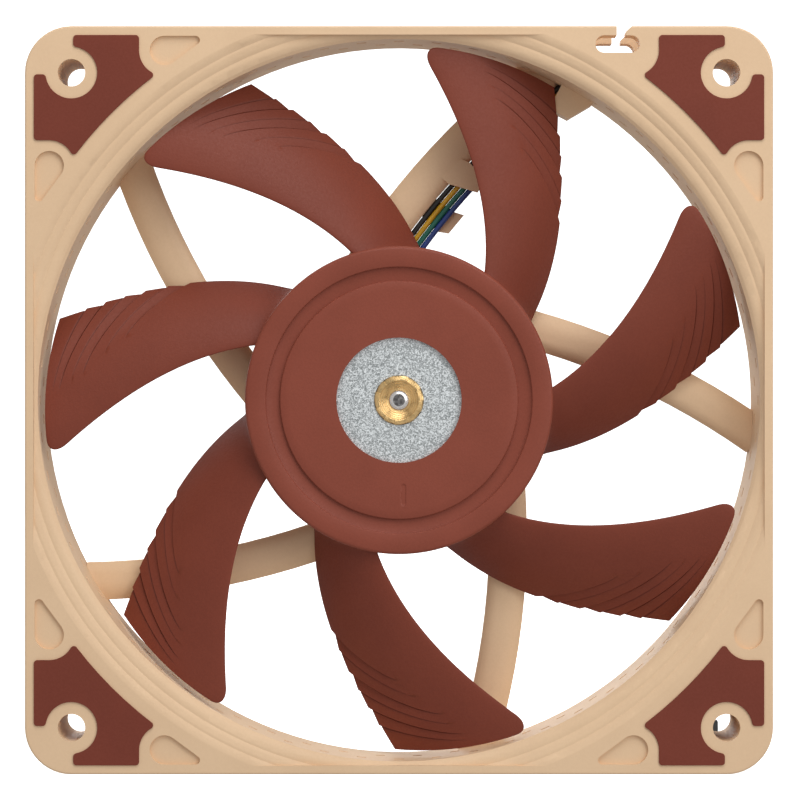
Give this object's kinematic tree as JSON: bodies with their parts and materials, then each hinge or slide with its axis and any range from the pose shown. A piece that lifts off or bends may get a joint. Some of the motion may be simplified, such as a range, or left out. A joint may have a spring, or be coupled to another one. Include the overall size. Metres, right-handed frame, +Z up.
{
  "type": "case fan",
  "caption": "Slim square axial fan with swept blades on a round hub, curved struts, corner pads, screw holes and a plug-ended lead.",
  "frame": {"origin": "centre of the fan on its spin axis, midway between the two faces; the lead isn't counted", "axes": "+Z up, +X to the right seen from the intake side, +Y along the spin axis towards the outlet side"},
  "size_m": [0.1221, 0.0356, 0.12],
  "materials": {
    "frame": "fine matte moulded, warm beige",
    "silicone_pad": "matte silicone, dark brown",
    "impeller": "satin moulded, reddish brown",
    "rotor_yoke": "galvanised, fine speckle",
    "turned_brass": "turned brass",
    "shaft": "ground steel",
    "ring_magnet": "dark bonded ferrite",
    "clip_plastic": "natural nylon",
    "seal_rubber": "black rubber",
    "sintered_bronze": "sintered bronze",
    "stator_core": "laminated electrical steel",
    "insulator_plastic": "black nylon",
    "copper_winding": "enamelled copper wire",
    "circuit_board": "green solder mask",
    "chip_package": "black epoxy",
    "capacitor_body": "tan ceramic",
    "tinned_contact": "tinned",
    "wire_black": "black insulation",
    "wire_yellow": "yellow insulation",
    "wire_green": "green insulation",
    "wire_blue": "blue insulation",
    "lead_boot": "black shrink tube",
    "lead": "dark braided sleeve",
    "lead_connector": "black nylon",
    "rear_label": "blank paper label"
  },
  "bodies": {
    "frame": {"frame": "frame", "front_pad_top_left": "silicone_pad", "front_pad_top_right": "silicone_pad", "front_pad_bottom_right": "silicone_pad", "front_pad_bottom_left": "silicone_pad", "rear_pad_top_left": "silicone_pad", "rear_pad_top_right": "silicone_pad", "rear_pad_bottom_right": "silicone_pad", "rear_pad_bottom_left": "silicone_pad", "bearing_housing": "turned_brass", "sleeve_bearing": "sintered_bronze", "oil_seal_ring": "seal_rubber", "thrust_pad": "clip_plastic", "stator_core": "stator_core", "upper_insulator": "insulator_plastic", "lower_insulator": "insulator_plastic", "coil_1": "copper_winding", "coil_2": "copper_winding", "coil_3": "copper_winding", "coil_4": "copper_winding", "circuit_board": "circuit_board", "driver_chip": "chip_package", "hall_sensor": "chip_package", "chip_capacitors": "capacitor_body", "solder_joints": "tinned_contact", "wire_black": "wire_black", "wire_yellow": "wire_yellow", "wire_green": "wire_green", "wire_blue": "wire_blue", "lead_boot": "lead_boot", "lead": "lead", "lead_connector": "lead_connector", "connector_terminals": "tinned_contact", "rear_label": "rear_label"},
    "rotor": {"impeller": "impeller", "rotor_yoke": "rotor_yoke", "hub_boss": "turned_brass", "shaft": "shaft", "ring_magnet": "ring_magnet", "retaining_clip": "clip_plastic"}
  },
  "joints": [
    {"name": "rotor_spin", "type": "hinge", "parent": "frame", "child": "rotor", "pos_m": [0, 0, 0], "axis": [0, -1, 0], "continuous": true}
  ]
}
